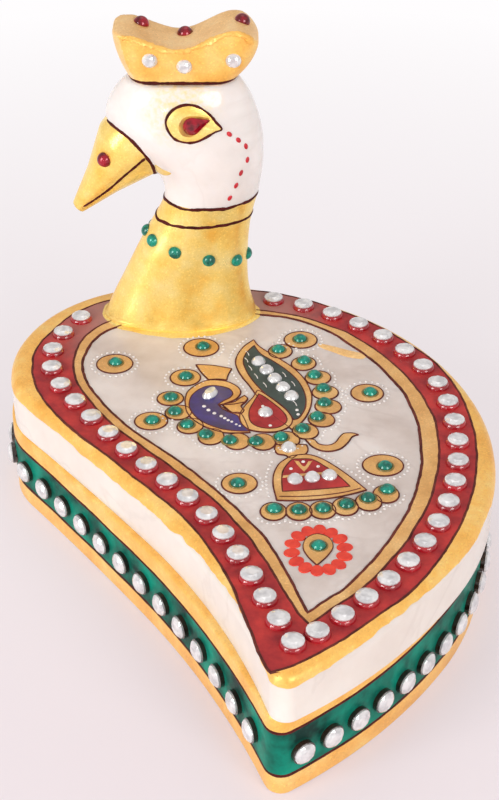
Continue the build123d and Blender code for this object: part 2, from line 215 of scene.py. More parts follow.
def chaton(place, axis, radius, height, turn=0.0):
    """A faceted glass stone: an eight-sided table with star, kite and girdle facets."""
    first = axis.orthogonal().normalized()
    second = axis.cross(first).normalized()
    levels = ((16, 1.0, 0.0, 0.0), (16, 1.0, 0.34, 0.0), (8, 0.84, 0.7, 0.5), (8, 0.58, 1.0, 0.0))
    points = []
    for count, share, rise, shift in levels:
        for k in range(count):
            angle = turn + tau * (k + shift) / count
            reach = first * cos(angle) + second * sin(angle)
            points.append(place + reach * radius * share + axis * height * rise)
    low, girdle, kite, table = 0, 16, 32, 40
    faces = [list(range(16))[::-1], [table + k for k in range(8)]] + ring_faces(16, low, girdle)
    for k in range(8):
        m = (k + 1) % 8
        faces.append([table + k, kite + k, table + m])
        faces.append([kite + k, girdle + 2 * k, girdle + 2 * k + 1])
        faces.append([kite + k, girdle + 2 * k + 1, girdle + (2 * k + 2) % 16])
        faces.append([table + m, kite + k, girdle + (2 * k + 2) % 16, kite + m])
    return points, faces


def show(name, data):
    """A new object in the scene."""
    made = bpy.data.objects.new(name, data)
    bpy.context.collection.objects.link(made)
    return made


class Piece:
    """One piece of the box's finish: shells gathered in millimetres, then made into one mesh."""

    def __init__(self, name, body, slot, material, faceted=False):
        self.name, self.body, self.slot = name, body, slot
        self.material, self.faceted = material, faceted
        self.points, self.faces = [], []

    def add(self, shell):
        start = len(self.points)
        self.points += shell[0]
        self.faces += [[start + corner for corner in face] for face in shell[1]]

    def make(self):
        mesh = bpy.data.meshes.new(self.name)
        mesh.from_pydata([point * MM for point in self.points], [], self.faces)
        turned = bmesh.new()
        turned.from_mesh(mesh)
        bmesh.ops.recalc_face_normals(turned, faces=turned.faces)
        turned.to_mesh(mesh)
        turned.free()
        for polygon in mesh.polygons:
            polygon.use_smooth = not self.faceted
        if not self.faceted:
            mesh.set_sharp_from_angle(angle=SHARP_FROM)
        mesh.materials.append(self.material)
        made = show(self.name, mesh)
        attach(made, self.body)
        return made


def painted(name, place, material, *shells):
    """A painted piece made at once."""
    piece = Piece(name, *place, material)
    for shell in shells:
        piece.add(shell)
    piece.make()


# Materials

def linear(code):
    """The linear colour of an sRGB hex value."""
    shares = [int(code[k:k + 2], 16) / 255 for k in (1, 3, 5)]
    return tuple(c / 12.92 if c <= 0.04045 else ((c + 0.055) / 1.055) ** 2.4 for c in shares) + (1.0,)


def per(millimetres):
    """The texture scale that gives a pattern of that size."""
    return 1 / (millimetres * MM)


def add(tree, kind, settings=None, links=None):
    """Adds one node, with settings for its sockets or properties and links from other sockets.

    A link may name a node instead, which stands for its first output.
    """
    made = tree.nodes.new("ShaderNode" + kind)
    for name, value in (settings or {}).items():
        if name == "stops":
            ramp = made.color_ramp.elements
            while len(ramp) < len(value):
                ramp.new(0.5)
            for stop, (place, colour) in zip(ramp, value):
                stop.position = place
                stop.color = linear(colour) if isinstance(colour, str) else (colour, colour, colour, 1)
        elif isinstance(name, int) or name in made.inputs:
            made.inputs[name].default_value = value
        else:
            setattr(made, name, value)
    for name, source in (links or {}).items():
        tree.links.new(source.outputs[0] if hasattr(source, "outputs") else source, made.inputs[name])
    return made


def begin(name):
    """A new material with an empty node tree, and the box's own coordinates to place patterns by."""
    material = bpy.data.materials.new(name)
    material.use_nodes = True
    tree = material.node_tree
    tree.nodes.clear()
    return material, tree, add(tree, "TexCoord").outputs["Object"]


def end(tree, settings, links):
    shader = add(tree, "BsdfPrincipled", settings, links)
    add(tree, "OutputMaterial", {}, {"Surface": shader})


def polished_marble(name, light, cloud, vein, vein_share, gloss=(0.16, 0.32), dust=None,
                    shift=(0, 0, 0)):
    """White marble, sawn and polished: milky, with soft grey clouds and hair veins under a gloss.

    Dust is a place seen from the side, round which gold powder has rubbed into the stone.
    """
    material, tree, place = begin(name)
    place = add(tree, "VectorMath", {"operation": "ADD", 1: [c * MM for c in shift]}, {0: place})
    clouds = add(tree, "TexNoise", {"Scale": per(16), "Detail": 5.0, "Roughness": 0.55}, {"Vector": place})
    body = add(tree, "ValToRGB", {"stops": ((0.32, cloud), (0.62, light))}, {"Fac": clouds})
    streaks = add(tree, "TexNoise", {"Scale": per(38), "Detail": 7.0, "Distortion": 1.6}, {"Vector": place})
    veins = add(tree, "ValToRGB", {"stops": ((0.47, 0.0), (0.5, vein_share), (0.53, 0.0))},
                {"Fac": streaks})
    colour = add(tree, "Mix", {"data_type": "RGBA", 7: linear(vein)}, {0: veins, 6: body})
    grain = add(tree, "TexNoise", {"Scale": per(0.9), "Detail": 3.0}, {"Vector": place})
    if dust:
        side = add(tree, "VectorMath", {"operation": "MULTIPLY", 1: (1, 0, 1)}, {0: place})
        away = add(tree, "VectorMath", {"operation": "DISTANCE", 1: [c * MM for c in dust]}, {0: side})
        near = add(tree, "MapRange", {"From Min": 9 * MM, "From Max": 3 * MM},
                   {"Value": away.outputs["Value"]})
        speck = add(tree, "ValToRGB", {"stops": ((0.42, 0.1), (0.66, 0.75))}, {"Fac": grain})
        share = add(tree, "Math", {"operation": "MULTIPLY"}, {0: near, 1: speck})
        colour = add(tree, "Mix", {"data_type": "RGBA", 7: linear("#F5D88C")},
                     {0: share, 6: colour.outputs[2]})
    rough = add(tree, "MapRange", {"To Min": gloss[0], "To Max": gloss[1]}, {"Value": clouds})
    bump = add(tree, "Bump", {"Strength": 0.05, "Distance": 0.0001}, {"Height": grain})
    end(tree, {"IOR": 1.5, "Subsurface Weight": 0.3, "Subsurface Radius": (1.0, 0.82, 0.7),
               "Subsurface Scale": 0.003},
        {"Base Color": colour.outputs[2], "Roughness": rough, "Normal": bump})
    return material


def gold_paint(name, light, middle, shade, metallic=0.25, grain_height=0.00006, satin=(0.28, 0.46)):
    """Gold leaf paint brushed on stone: metal flakes in a clear binder, grainy and a little uneven."""
    material, tree, place = begin(name)
    # Flakes and grain are finer than a render shows, so they are drawn at 0.28 and 0.45 mm.
    flakes = add(tree, "TexVoronoi", {"Scale": per(0.28)}, {"Vector": place})
    brush = add(tree, "TexNoise", {"Scale": per(6), "Detail": 5.0, "Roughness": 0.55}, {"Vector": place})
    tone = add(tree, "ValToRGB", {"stops": ((0.28, shade), (0.5, middle), (0.74, light))}, {"Fac": brush})
    spark = add(tree, "ValToRGB", {"stops": ((0.08, 0.9), (0.35, 1.0), (0.7, 1.0), (0.92, 1.2))},
                {"Fac": flakes.outputs["Color"]})
    colour = add(tree, "Mix", {"data_type": "RGBA", "blend_type": "MULTIPLY", 0: 1.0}, {6: tone, 7: spark})
    gloss = add(tree, "MapRange", {"To Min": satin[0], "To Max": satin[1]}, {"Value": brush})
    grain = add(tree, "TexNoise", {"Scale": per(0.45), "Detail": 3.0, "Roughness": 0.6}, {"Vector": place})
    bump = add(tree, "Bump", {"Strength": 0.4, "Distance": grain_height}, {"Height": grain})
    end(tree, {"Metallic": metallic}, {"Base Color": colour.outputs[2], "Roughness": gloss, "Normal": bump})
    return material


def enamel_paint(name, light, shade, patch_size, roughness=0.22, clear_coat=0.4, gloss=0.5, haze=None):
    """Oil-bound colour brushed on stone and varnished: even, pooling a little lighter and darker.

    Haze is a place round which the colour is dulled towards a greyish pink.
    """
    material, tree, place = begin(name)
    pools = add(tree, "TexNoise", {"Scale": per(patch_size), "Detail": 4.0, "Roughness": 0.6},
                {"Vector": place})
    colour = add(tree, "ValToRGB", {"stops": ((0.34, shade), (0.66, light))}, {"Fac": pools})
    if haze:
        away = add(tree, "VectorMath", {"operation": "DISTANCE", 1: [c * MM for c in haze]}, {0: place})
        near = add(tree, "MapRange", {"From Min": 33 * MM, "From Max": 17 * MM, "To Max": 0.85},
                   {"Value": away.outputs["Value"]})
        colour = add(tree, "Mix", {"data_type": "RGBA", 7: linear("#AE8A80")},
                     {0: near, 6: colour}).outputs[2]
    ripple = add(tree, "TexNoise", {"Scale": per(1.4), "Detail": 2.0}, {"Vector": place})
    bump = add(tree, "Bump", {"Strength": 0.2, "Distance": 0.0001}, {"Height": ripple})
    end(tree, {"IOR": 1.5, "Roughness": roughness, "Coat Weight": clear_coat, "Coat Roughness": 0.05,
               "Specular IOR Level": gloss}, {"Base Color": colour, "Normal": bump})
    return material


def foiled_glass(name, light, shade, metallic, roughness):
    """Pressed glass on a foil back, which throws light back through it, so it shines like tinted metal."""
    material, tree, place = begin(name)
    depth = add(tree, "TexNoise", {"Scale": per(1.6), "Detail": 2.0}, {"Vector": place})
    colour = add(tree, "ValToRGB", {"stops": ((0.36, shade), (0.62, light))}, {"Fac": depth})
    end(tree, {"IOR": 1.52, "Metallic": metallic, "Roughness": roughness, "Specular IOR Level": 0.6},
        {"Base Color": colour})
    return material


def turned_brass(name):
    """Plain turned brass: fine rings from the lathe, a little dull."""
    material, tree, place = begin(name)
    # The lathe's rings are too fine to show, so they are drawn coarser: 1.3 mm apart at this scale.
    rings = add(tree, "TexWave", {"Scale": per(4), "bands_direction": "Z"}, {"Vector": place})
    colour = add(tree, "ValToRGB", {"stops": ((0.2, "#B58E4A"), (0.8, "#D2AC63"))},
                 {"Fac": rings.outputs["Fac"]})
    end(tree, {"Metallic": 1.0, "Roughness": 0.34}, {"Base Color": colour})
    return material


marble = polished_marble("polished_marble", "#F2E9E0", "#E8DCD2", "#D9CCC2", 0.3)
# Painted shade: the lid's level top takes a darker, pinker copy of the marble of its sides.
marble_painted_shade_top = polished_marble("polished_marble_painted_shade_top", "#EEE3DD", "#D2C2B9", "#C6B5AD", 0.28,
                               shift=(13, 37, 0))
marble_head = polished_marble("polished_marble_head", "#F8F2EF", "#EAE2DD", "#DED5CF", 0.22,
                              (0.08, 0.18), (-13.5, 0, 80.5))
gold = gold_paint("gold_leaf_paint", "#FFD986", "#FFC564", "#F4B04C")
# Painted light: the bird's gold is the same gold paint in lighter colours, with its own higher metal share
# and lower roughness.
gold_bird_painted_light = gold_paint("gold_leaf_paint_with_painted_light", "#FFE89A", "#FFDA78", "#FFC656", 0.4, satin=(0.2, 0.3))
gold_fine = gold_paint("gold_line_paint", "#F2C583", "#E6B06A", "#D39A54", 0.15, 0.00004)
gold_worn = gold_paint("worn_gold_on_marble", "#FFDCA2", "#FBCB86", "#EEB76C", 0.1, 0.00004)
# The red is dulled towards greyish pink round the bird's neck.
red = enamel_paint("red_enamel_paint", "#C83A36", "#94232A", 5, 0.4, 0.03, 0.25,
                   (PIVOT.x, PIVOT.y, LID_TOP))
red_pool = enamel_paint("red_varnish_pool", "#B81A26", "#8C121D", 3, 0.08, 0.8)
green = enamel_paint("green_enamel_paint", "#05937A", "#0A332C", 9, 0.45, 0.02, 0.12)
blue = enamel_paint("blue_enamel_paint", "#352C86", "#241D5C", 4, 0.3, 0.1)
wing_green = enamel_paint("dark_green_enamel_paint", "#3A4B42", "#25312C", 4, 0.35, 0.1)
dark = enamel_paint("maroon_line_paint", "#5C1E1B", "#3A1110", 2.5, 0.5, 0.0, 0.12)
brown = enamel_paint("brown_line_paint", "#743830", "#4C2320", 2.5, 0.5, 0.0, 0.12)
white = enamel_paint("white_dot_paint", "#F3EDE9", "#E6DED9", 1.5, 0.45, 0.05)
vermilion = enamel_paint("vermilion_paint", "#F24428", "#D92A1A", 2, 0.4, 0.05)
crimson = enamel_paint("crimson_dot_paint", "#D4202E", "#B41424", 2, 0.35, 0.1)
olive_ring_paint = enamel_paint("olive_ring_on_gold", "#8E7A3A", "#6B5F2E", 2, 0.3, 0.1)
amber_ring_paint = enamel_paint("amber_ring_on_gold", "#D9A548", "#A8742E", 2, 0.3, 0.1)
lac = enamel_paint("black_lac", "#3A271C", "#150D0A", 1.5, 0.16, 0.6)
clear_glass = foiled_glass("foiled_clear_glass", "#F4F3F3", "#D3D2D4", 0.4, 0.16)
green_glass = foiled_glass("foiled_green_glass", "#0A9780", "#055E4F", 0.1, 0.06)
red_glass = foiled_glass("foiled_red_glass", "#A80F28", "#5E0714", 0.15, 0.06)
brass = turned_brass("turned_brass")


def coat(node, *materials):
    """Gives a CAD node its finish."""
    slots = frame["nodes"][node].data.materials
    slots.clear()
    for material in materials:
        slots.append(material)


# Outlines of the lid and the base

def even(ring):
    """A closed loop's points at even steps from its first point."""
    ring = ring + ring[:1]
    lengths = [hypot(b[0] - a[0], b[1] - a[1]) for a, b in zip(ring, ring[1:])]
    total = sum(lengths)
    path, passed, k = [], 0.0, 0
    for i in range(COUNT):
        while passed + lengths[k] < i * total / COUNT:
            passed += lengths[k]
            k += 1
        share = (i * total / COUNT - passed) / lengths[k]
        path.append(Vector((ring[k][0] + (ring[k + 1][0] - ring[k][0]) * share,
                            ring[k][1] + (ring[k + 1][1] - ring[k][1]) * share)))
    return path


def edge_of(node, height):
    """A slab's edge seen from above, read at a height, from the tip counter-clockwise in even steps.

    The rod's hole and anything else near the pivot is left out.
    """
    level, near_rod, inside = 0.02, 8, (5, 5)
    found = {}
    for vertex in frame["nodes"][node].data.vertices:
        place = vertex.co / MM
        if abs(place.z - height) < level and hypot(place.x - PIVOT.x, place.y - PIVOT.y) > near_rod:
            found[round(place.x, 3), round(place.y, 3)] = atan2(place.y - inside[1], place.x - inside[0])
    ring = sorted(found, key=found.get)
    first = ring.index(min(ring, key=lambda p: p[1]))
    return even(ring[first:] + ring[:first])


def outward(path):
    """Directions out of a counter-clockwise loop, each read over a few steps to both sides."""
    count, reach = len(path), 3
    found = []
    for i in range(count):
        along = path[(i + reach) % count] - path[i - reach]
        found.append(Vector((along.y, -along.x)).normalized())
    return found


lid_loop = edge_of("lid_slab", LID_FOOT)
lid_out = outward(lid_loop)
base_loop = edge_of("base_body", LID_FOOT - BASE_EDGE_RADIUS)
base_out = outward(base_loop)


def out_of(place, out, reach, height):
    """A point that far out of a loop, at a height."""
    return Vector((place.x + out.x * reach, place.y + out.y * reach, height))


def wander(place, size, amount):
    """A slow uneven shift, as a hand-held brush makes."""
    return amount * noise.noise(Vector((place[0], place[1], 3.7)) / size)


def brushed(path):
    """A loop with the small waver of a painted edge."""
    return [place + out * (wander(place, 5, 0.2) + wander(place, 1.6, 0.1))
            for place, out in zip(path, outward(path))]


def by_station(values):
    """A value at each point of a loop, smooth through those given at its stations."""
    return [value for (value,) in smooth([(v,) for v in values], STEPS, closed=True)]


# Painted borders of the lid

red_outer = brushed(even(cornered(
    [(3.6, -61.2), (10.2, -57.9), (20.2, -49.4), (29.5, -39.8), (35.4, -30), (39.9, -20), (42.6, -10),
     (44, 0), (44, 10), (42.4, 20), (38.9, 29.6), (34.4, 36.4), (29.9, 41.8), (23.6, 47.5), (15.8, 53),
     (8, 56.8), (2, 58.6), (-8, 59.4), (-20, 58.2), (-30.9, 54.5), (-37.6, 49.6), (-42.2, 42),
     (-44.8, 35.5), (-45.1, 28.5), (-43.4, 20.4), (-39.4, 12.7), (-33.7, 4.9), (-27, -2.9), (-20.5, -10.7),
     (-14.9, -17.4), (-9.7, -25.1), (-5.3, -34.0), (-2.3, -42.1), (0.2, -51), (2.4, -58.8)])))
red_inner = brushed(even(cornered(
    [(10.2, -49.8), (15.2, -45), (20.3, -40), (27.3, -30), (32.1, -20), (35.3, -10), (36.9, 0), (36.7, 10),
     (34.2, 20), (29.7, 30), (22.6, 39.8), (17.4, 44), (11.3, 47.7), (2.4, 50.4), (-8, 51.2), (-20, 50),
     (-29.2, 46.4), (-33, 43.2), (-35.9, 37.2), (-36.6, 29.6), (-35.1, 22.5), (-30.9, 13.8), (-25.3, 5.6),
     (-18.7, -1.8), (-12.2, -9.2), (-6.4, -16.4), (-2, -23.6), (1.5, -30), (5.6, -40.1), (8, -46.2)])))
gold_inner = brushed(even(cornered(
    [(10, -47), (13.6, -43.6), (17.3, -40), (24.1, -30), (29, -20), (32.1, -10), (33.5, 0), (33.2, 10),
     (31, 20), (26.3, 30), (20.9, 37.6), (16.3, 42.6), (10.6, 46.4), (5.4, 48.2), (-6, 49.3), (-20, 47.6),
     (-27.6, 44.2), (-31.3, 41.2), (-33.8, 36.4), (-34.7, 29.5), (-33.1, 22.3), (-28.4, 13.4), (-22.6, 5.4),
     (-16.2, -1.4), (-9, -9.6), (-3.7, -16.8), (0.9, -23.8), (3.8, -29.2), (6.9, -37.3), (8.6, -42.9)])))


def lid_band(outer, inner, lift=PAINT):
    """A flat painted band on the lid's top between two loops."""
    return hoop([on_lid(outer, -SUNK), on_lid(outer, lift), on_lid(inner, lift), on_lid(inner, -SUNK)])


# How far up the rounded edge the rim's gold ends, and the angle at which it turns level
rim_low = by_station((0.2, 1.2, 0.8, 0.3, 0.0, 0.0, 0.0, 0.0, 0.0, 0.0, 0.0, 0.0, 0.0, 0.1, 1.0, 1.7))
RIM_TURN = 1.3


def lid_rim():
    """The gold rim: from the red border over the lid's rounded edge to an uneven lower edge on its side."""
    radius = LID_EDGE_RADIUS
    section = [[], [], [], [], []]
    inside = [[], [], []]

    def rounded(place, out, angle, lift):
        reach = (radius + lift) * cos(max(angle, 0.0)) - radius
        rise = (radius + lift) * sin(angle) if angle > 0 else radius * angle
        return out_of(place, out, reach, LID_TOP - radius + rise)

    for i, (place, out) in enumerate(zip(lid_loop, lid_out)):
        waver = wander(place, 9, 0.5) + wander(place, 3, 0.45) + wander(place, 1.2, 0.2)
        low = min((rim_low[i] - waver) / radius, 0.9)
        for k in range(4):
            section[k].append(rounded(place, out, low + (RIM_TURN - low) * k / 3, PAINT))
        section[4].append(Vector((*red_outer[i], LID_TOP + PAINT)))
        inside[0].append(Vector((*red_outer[i], LID_TOP - SUNK)))
        inside[1].append(rounded(place, out, (RIM_TURN + low) / 2, -SUNK * 3))
        inside[2].append(rounded(place, out, low, -SUNK))
    return hoop(section + inside)


painted("lid_gold_rim", ON_LID, gold, lid_rim())
painted("lid_red_border", ON_LID, red, lid_band(red_outer, red_inner))
painted("lid_inner_gold_line", ON_LID, gold_fine, lid_band(red_inner, gold_inner, PAINT * 1.1))
painted("lid_border_lines", ON_LID, brown,
        *(line(on_lid(loop), width, LINE_HEIGHT, closed=True)
          for loop, width in ((red_outer, 0.27), (red_inner, 0.3), (gold_inner, 0.33))))

# Painted bands of the base: gold at the foot, green with the studs, gold under the lid

green_low = [4.7] * COUNT
green_high = by_station((15.0, 15.5, 16.2, 17.0, 17.4, 17.2, 16.4, 15.4, 14.8, 14.4, 14.2, 14.2, 14.2, 14.2,
                         14.3, 14.6))


def wall(reach, heights):
    """A loop round the base's wall, that far out of it."""
    return [out_of(place, out, reach, height + wander(place, 8, 0.16))
            for place, out, height in zip(base_loop, base_out, heights)]


def flat_wall(reach, height):
    """A level loop round the base's wall, that far out of it."""
    return [out_of(place, out, reach, height) for place, out in zip(base_loop, base_out)]


def base_foot_band():
    """Gold from the green band down to the turn of the base's lower edge."""
    radius, turn = BASE_EDGE_RADIUS, 0.8
    curl = (radius + PAINT) * cos(turn) - radius
    low = radius - (radius + PAINT) * sin(turn)
    return hoop([wall(-SUNK, green_low), wall(PAINT, green_low), wall(PAINT, [radius] * COUNT),
                 flat_wall(curl, low), flat_wall(curl - SUNK * 2, low + SUNK * 2)])


def base_top_band():
    """Gold over the base's top edge, thinned to a film where the lid lies on it."""
    radius, film, ledge = BASE_EDGE_RADIUS, 0.015, 3.2
    top = LID_FOOT - radius
    loops = [wall(-SUNK, green_high), wall(PAINT, green_high)]
    for angle in (0.0, 0.4, 0.8, 1.2, pi / 2):
        reach = radius + film + (PAINT - film) * cos(angle)
        loops.append(flat_wall(reach * cos(angle) - radius, top + reach * sin(angle)))
    loops += [flat_wall(-radius - ledge, LID_FOOT + film), flat_wall(-radius - ledge, LID_FOOT - SUNK),
              flat_wall(-radius, LID_FOOT - SUNK - radius * 0.5)]
    return hoop(loops)


painted("base_gold_foot_band", ON_BASE, gold, base_foot_band())
painted("base_gold_top_band", ON_BASE, gold, base_top_band())
painted("base_green_band", ON_BASE, green,
        hoop([wall(-SUNK, green_low), wall(PAINT * 1.1, green_low), wall(PAINT * 1.1, green_high),
              wall(-SUNK, green_high)]))
base_normals = [Vector((out.x, out.y, 0)) for out in base_out]
painted("base_band_lines", ON_BASE, dark,
        *(line(wall(0, heights), width, LINE_HEIGHT, base_normals, closed=True)
          for heights, width in ((green_low, 0.46), (green_high, 0.42))))

# The peacock and its ornaments on the lid

paint_gold = Piece("motif_gold", *ON_LID, gold_fine)
paint_blue = Piece("motif_blue", *ON_LID, blue)
paint_red = Piece("motif_red", *ON_LID, red)
paint_wing = Piece("motif_wing_green", *ON_LID, wing_green)
paint_lines = Piece("motif_lines", *ON_LID, brown)
paint_dots = Piece("motif_white_dots", *ON_LID, white)
paint_petals = Piece("motif_flower_petals", *ON_LID, vermilion)

# Half the width of the motif's brush lines, and the radius of its white dots
LINE = 0.17
DOT = 0.28
layers = itertools.count()


def gilded(path, lift=PAINT, width=LINE):
    """A gold patch with its dark brush outline, a hair higher than the patch painted before it."""
    lift += 0.001 * next(layers)
    coloured(paint_gold, path, lift, width, lift + 0.1)


def coloured(piece, path, lift, width, height):
    """A patch of colour with its dark brush outline."""
    piece.add(patch(path, lift))
    paint_lines.add(line(on_lid(path), width, height, closed=True))


def stroke(points, width=LINE, lift=LINE_HEIGHT):
    paint_lines.add(line(on_lid(smooth(points)), width, lift))


def dot(x, y, radius=DOT, lift=0.0):
    paint_dots.add(dome(Vector((x, y, LID_TOP + lift)), radius, 0.18))


def dots_along(points, spacing=1.15, radius=DOT):
    """White dots at even steps along a smooth path."""
    path = smooth(points)
    due = 0.0
    for a, b in zip(path, path[1:]):
        length = hypot(b[0] - a[0], b[1] - a[1])
        while due <= length:
            dot(a[0] + (b[0] - a[0]) * due / length, a[1] + (b[1] - a[1]) * due / length, radius)
            due += spacing
        due -= length


def dots_round(centre, half_x, half_y, start=0.0, sweep=tau):
    count = max(3, round(sweep * (half_x + half_y) / 2 / 1.2))
    for k in range(count):
        angle = start + sweep * (k + 0.5) / count
        dot(centre[0] + half_x * cos(angle), centre[1] + half_y * sin(angle))


roundels = (((-28, 29.3), 3.75, 3.5), ((-10.1, 35.5), 3.7, 3.4), ((-13.1, 24.2), 3.1, 2.95),
            ((-19.4, 8.9), 3.25, 2.95), ((11, 38.5), 3.5, 3.2), ((24, 18.6), 3.3, 3.1),
            ((25.6, -5.6), 3.9, 3.3), ((-1.8, -11.2), 3.35, 3.1))
for centre, half_x, half_y in roundels:
    gilded(oval(centre, half_x, half_y))
    dots_round(centre, half_x + 1.05, half_y + 1.05)

tail_petals = ((-15.9, 16.7), (-14.1, 11.8), (-11.6, 7.2), (-7.4, 3.6), (-2.3, 2.1), (2.7, 1.9), (7.4, 2.7),
               (11.1, 5.4), (14.4, 9.4), (15.9, 13.8), (15.5, 18.8), (14.2, 24.1), (11.4, 29.4), (6.6, 34))
TAIL_MIDDLE = (0, 18)
for k, centre in enumerate(tail_petals):
    facing = atan2(centre[1] - TAIL_MIDDLE[1], centre[0] - TAIL_MIDDLE[0])
    gilded(oval(centre, 2.65, 2.45, facing), PAINT + 0.02 * (k % 2))
    dots_round(centre, 3.6, 3.6, facing - 1.0, 2.0)

wing = cornered(
    [(1, 38.5), (-1, 36), (-2.3, 33), (-2.8, 30), (-2.3, 27), (-1.2, 24), (0, 21.5), (0.9, 19.3)],
    [(4, 12), (8.5, 6)],
    [(10.3, 8.3), (11.5, 10.8), (12.4, 14), (12.7, 17.5), (12.2, 21), (11, 24.5), (9, 28), (6.5, 31),
     (4, 33.7), (2, 36.2)])
gilded(wing)
wing_field = cornered(
    [(1.1, 36.2), (0.5, 35.3), (-0.7, 33), (-1.2, 30), (-0.5, 26.5), (0.8, 23), (2.2, 20.2), (3.5, 18)],
    [(6, 15), (7.6, 12.5), (8.9, 9.2)],
    [(10, 10), (11.2, 13), (11.5, 16.5), (11, 20), (9.8, 23.5), (7.7, 27), (5, 30.3), (2.5, 33)])
coloured(paint_wing, wing_field, 0.16, LINE, 0.24)

gilded(cornered(
    [(-12.9, 16), (-12.4, 19.2), (-10.2, 22), (-8, 23.2), (-4.8, 22.8), (-2.5, 21), (-1.7, 19), (-2.3, 17),
     (-3.4, 15.8), (-5, 14.8), (-6.2, 14.3)], [(-5, 13.2), (-3.5, 11.8), (-1.5, 11.2), (0.2, 5)],
    [(-4.5, 4.9), (-8, 6.5), (-10.8, 9), (-12.4, 12)]), 0.12)
body = cornered(
    [(-6.2, 14.5), (-5.2, 15.7), (-3.8, 17), (-3.3, 18.5), (-4, 20), (-5.7, 20.9), (-8, 21.2), (-10, 20),
     (-11.5, 17.8), (-12, 15.5), (-11.8, 13), (-10.5, 10.2), (-8.5, 8), (-5.5, 6.2), (-2.5, 5.5),
     (0.1, 5.4)], [(-1.5, 8), (-2.2, 10.5), (-4, 11.8), (-5.5, 13.2)])
coloured(paint_blue, body, 0.18, 0.2, 0.24)
for x, y, radius in ((-9, 13.8, 0.42), (-8.1, 12.5, 0.42), (-6.9, 11.4, 0.4), (-5.5, 10.4, 0.38),
                     (-4.8, 9.7, 0.36), (-4.1, 9, 0.34), (-3.4, 8.5, 0.3), (-2.5, 7.6, 0.28),
                     (-1.8, 7.1, 0.25)):
    dot(x, y, radius, 0.18)

gilded(cornered(
    [(-5.4, 14.6), (-3, 15.4), (-1.8, 16.8), (-0.9, 17.7)], [(-0.3, 16.6), (-0.9, 15.2)],
    [(-1.6, 13.9), (-1, 12.5), (-1.5, 11.3)], [(-3.5, 11.9)]), 0.13, 0.2)
stroke([(-5.2, 14.4), (-3.2, 14.6), (-1, 15.3)], 0.2, 0.26)
gilded(cornered(
    [(-8.3, 23.4), (-9.8, 26), (-11, 28.9)], [(-7.5, 28.6), (-3.6, 27.4)], [(-4.3, 25.2), (-4.6, 23.3)],
    [(-6.4, 23.6)]), 0.13)
dots_along([(-3.5, 26.2), (-2.4, 23.5), (-1, 20.6), (-0.4, 18.6)])
dots_along([(-4.2, 28.4), (-4.1, 31), (-3.5, 33.8), (-2.2, 36.6), (-0.4, 39.2)])

drop = cornered(
    [(1.7, 19.5), (0.8, 17), (-0.8, 14), (-1.8, 11), (-1.5, 8), (0, 6), (2.5, 5.2), (5.5, 5.3), (7.8, 6.8),
     (8.6, 9), (8, 11.5), (6.5, 14), (4.5, 16.7), (2.5, 19)])
gilded(drop, 0.15)
drop_red = cornered(
    [(2, 18.2), (1, 15.5), (0.1, 12.5), (0.1, 9.5), (1, 7.5), (3, 6.4), (5.5, 6.5), (7.2, 8), (7.5, 10),
     (6.5, 12.5), (4.8, 15), (3, 17.3)])
coloured(paint_red, drop_red, 0.2, 0.18, 0.27)
for x, y in ((2.8, 13.8), (4.2, 7.2), (9.6, 12.5), (9.8, 11)):
    dot(x, y, 0.36, 0.2)

scroll = cornered(
    [(11, 2.8), (12.3, 0.4), (14, -0.9), (15.8, -1.1), (17.7, -0.3), (19.2, 1.6), (20.2, 3.6), (21.4, 4.3)],
    [(20.3, 4.8), (18.7, 4.7), (17.8, 3.6), (17, 2), (16, 1), (14.7, 0.8), (13.5, 1.3), (12.7, 2.6)])
gilded(scroll)
gilded(cornered(
    [(5.2, 0.9), (5, -0.6), (5.6, -2), (7, -2.4), (8.2, -3.4), (9.4, -2.4), (10.8, -2.1), (11.4, -0.7),
     (11.2, 0.9)], [(8.2, 1.2)]))

bell = cornered(
    [(8.2, -2.6), (6.8, -3.9), (5.6, -5.5), (4.7, -8.5), (4.6, -12), (5.2, -16.3)],
    [(10, -16.4), (15, -15.7), (19, -14.5), (22, -13.2)],
    [(19.5, -9.7), (16.5, -6), (13.5, -3.2), (11, -2.2)])
gilded(bell, 0.11)
bell_red = cornered(
    [(8.8, -3.7), (8, -4.2), (6.6, -7), (6.2, -10), (6.3, -13.7)], [(12, -13.2), (19, -12.2)],
    [(17, -9), (14.5, -6), (12, -3.8)])
coloured(paint_red, bell_red, 0.17, 0.2, 0.24)
stroke([(5.6, -15.2), (10, -15.2), (14, -14.8), (18, -13.9), (21, -12.7)], 0.2, 0.22)
gold_over = Piece("motif_gold_over_red", *ON_LID, gold_fine)
gold_over.add(patch(cornered(
    [(8.6, -4.2), (9.4, -6), (10.5, -7.8)], [(11.4, -6.2), (12.2, -4.3)], [(11.3, -4.5)],
    [(10.5, -6.1), (9.6, -4.4)], []), 0.24, 0.1))
gold_over.add(patch(cornered(
    [(6.4, -8.9), (10, -8.3), (15.2, -7.7)], [(15.6, -8.4)], [(10, -9.1), (6.3, -9.7)], []), 0.24, 0.1))
for x, y in ((8, -6.8), (13.2, -6.1), (10.4, -4.6)):
    dot(x, y, 0.36, 0.2)
dots_along([(4.4, -4.4), (3.4, -8), (3.3, -12), (3.9, -16)], 1.2)
dots_along([(13.6, -1.6), (17, -4.6), (20.4, -8.6), (23.6, -12.4)], 1.2)

fringe = ((4.5, -19.6), (9.2, -19.6), (13.6, -19.2), (17.8, -18.2), (22.2, -16.8), (25.6, -14.5))
for k, centre in enumerate(fringe):
    gilded(oval(centre, 2.4, 2.6), PAINT + 0.02 * (k % 2))
    facing = -pi / 2 + 0.16 * (k - 1)
    dots_round(centre, 3.4, 3.5, facing - 1.0, 2.0)

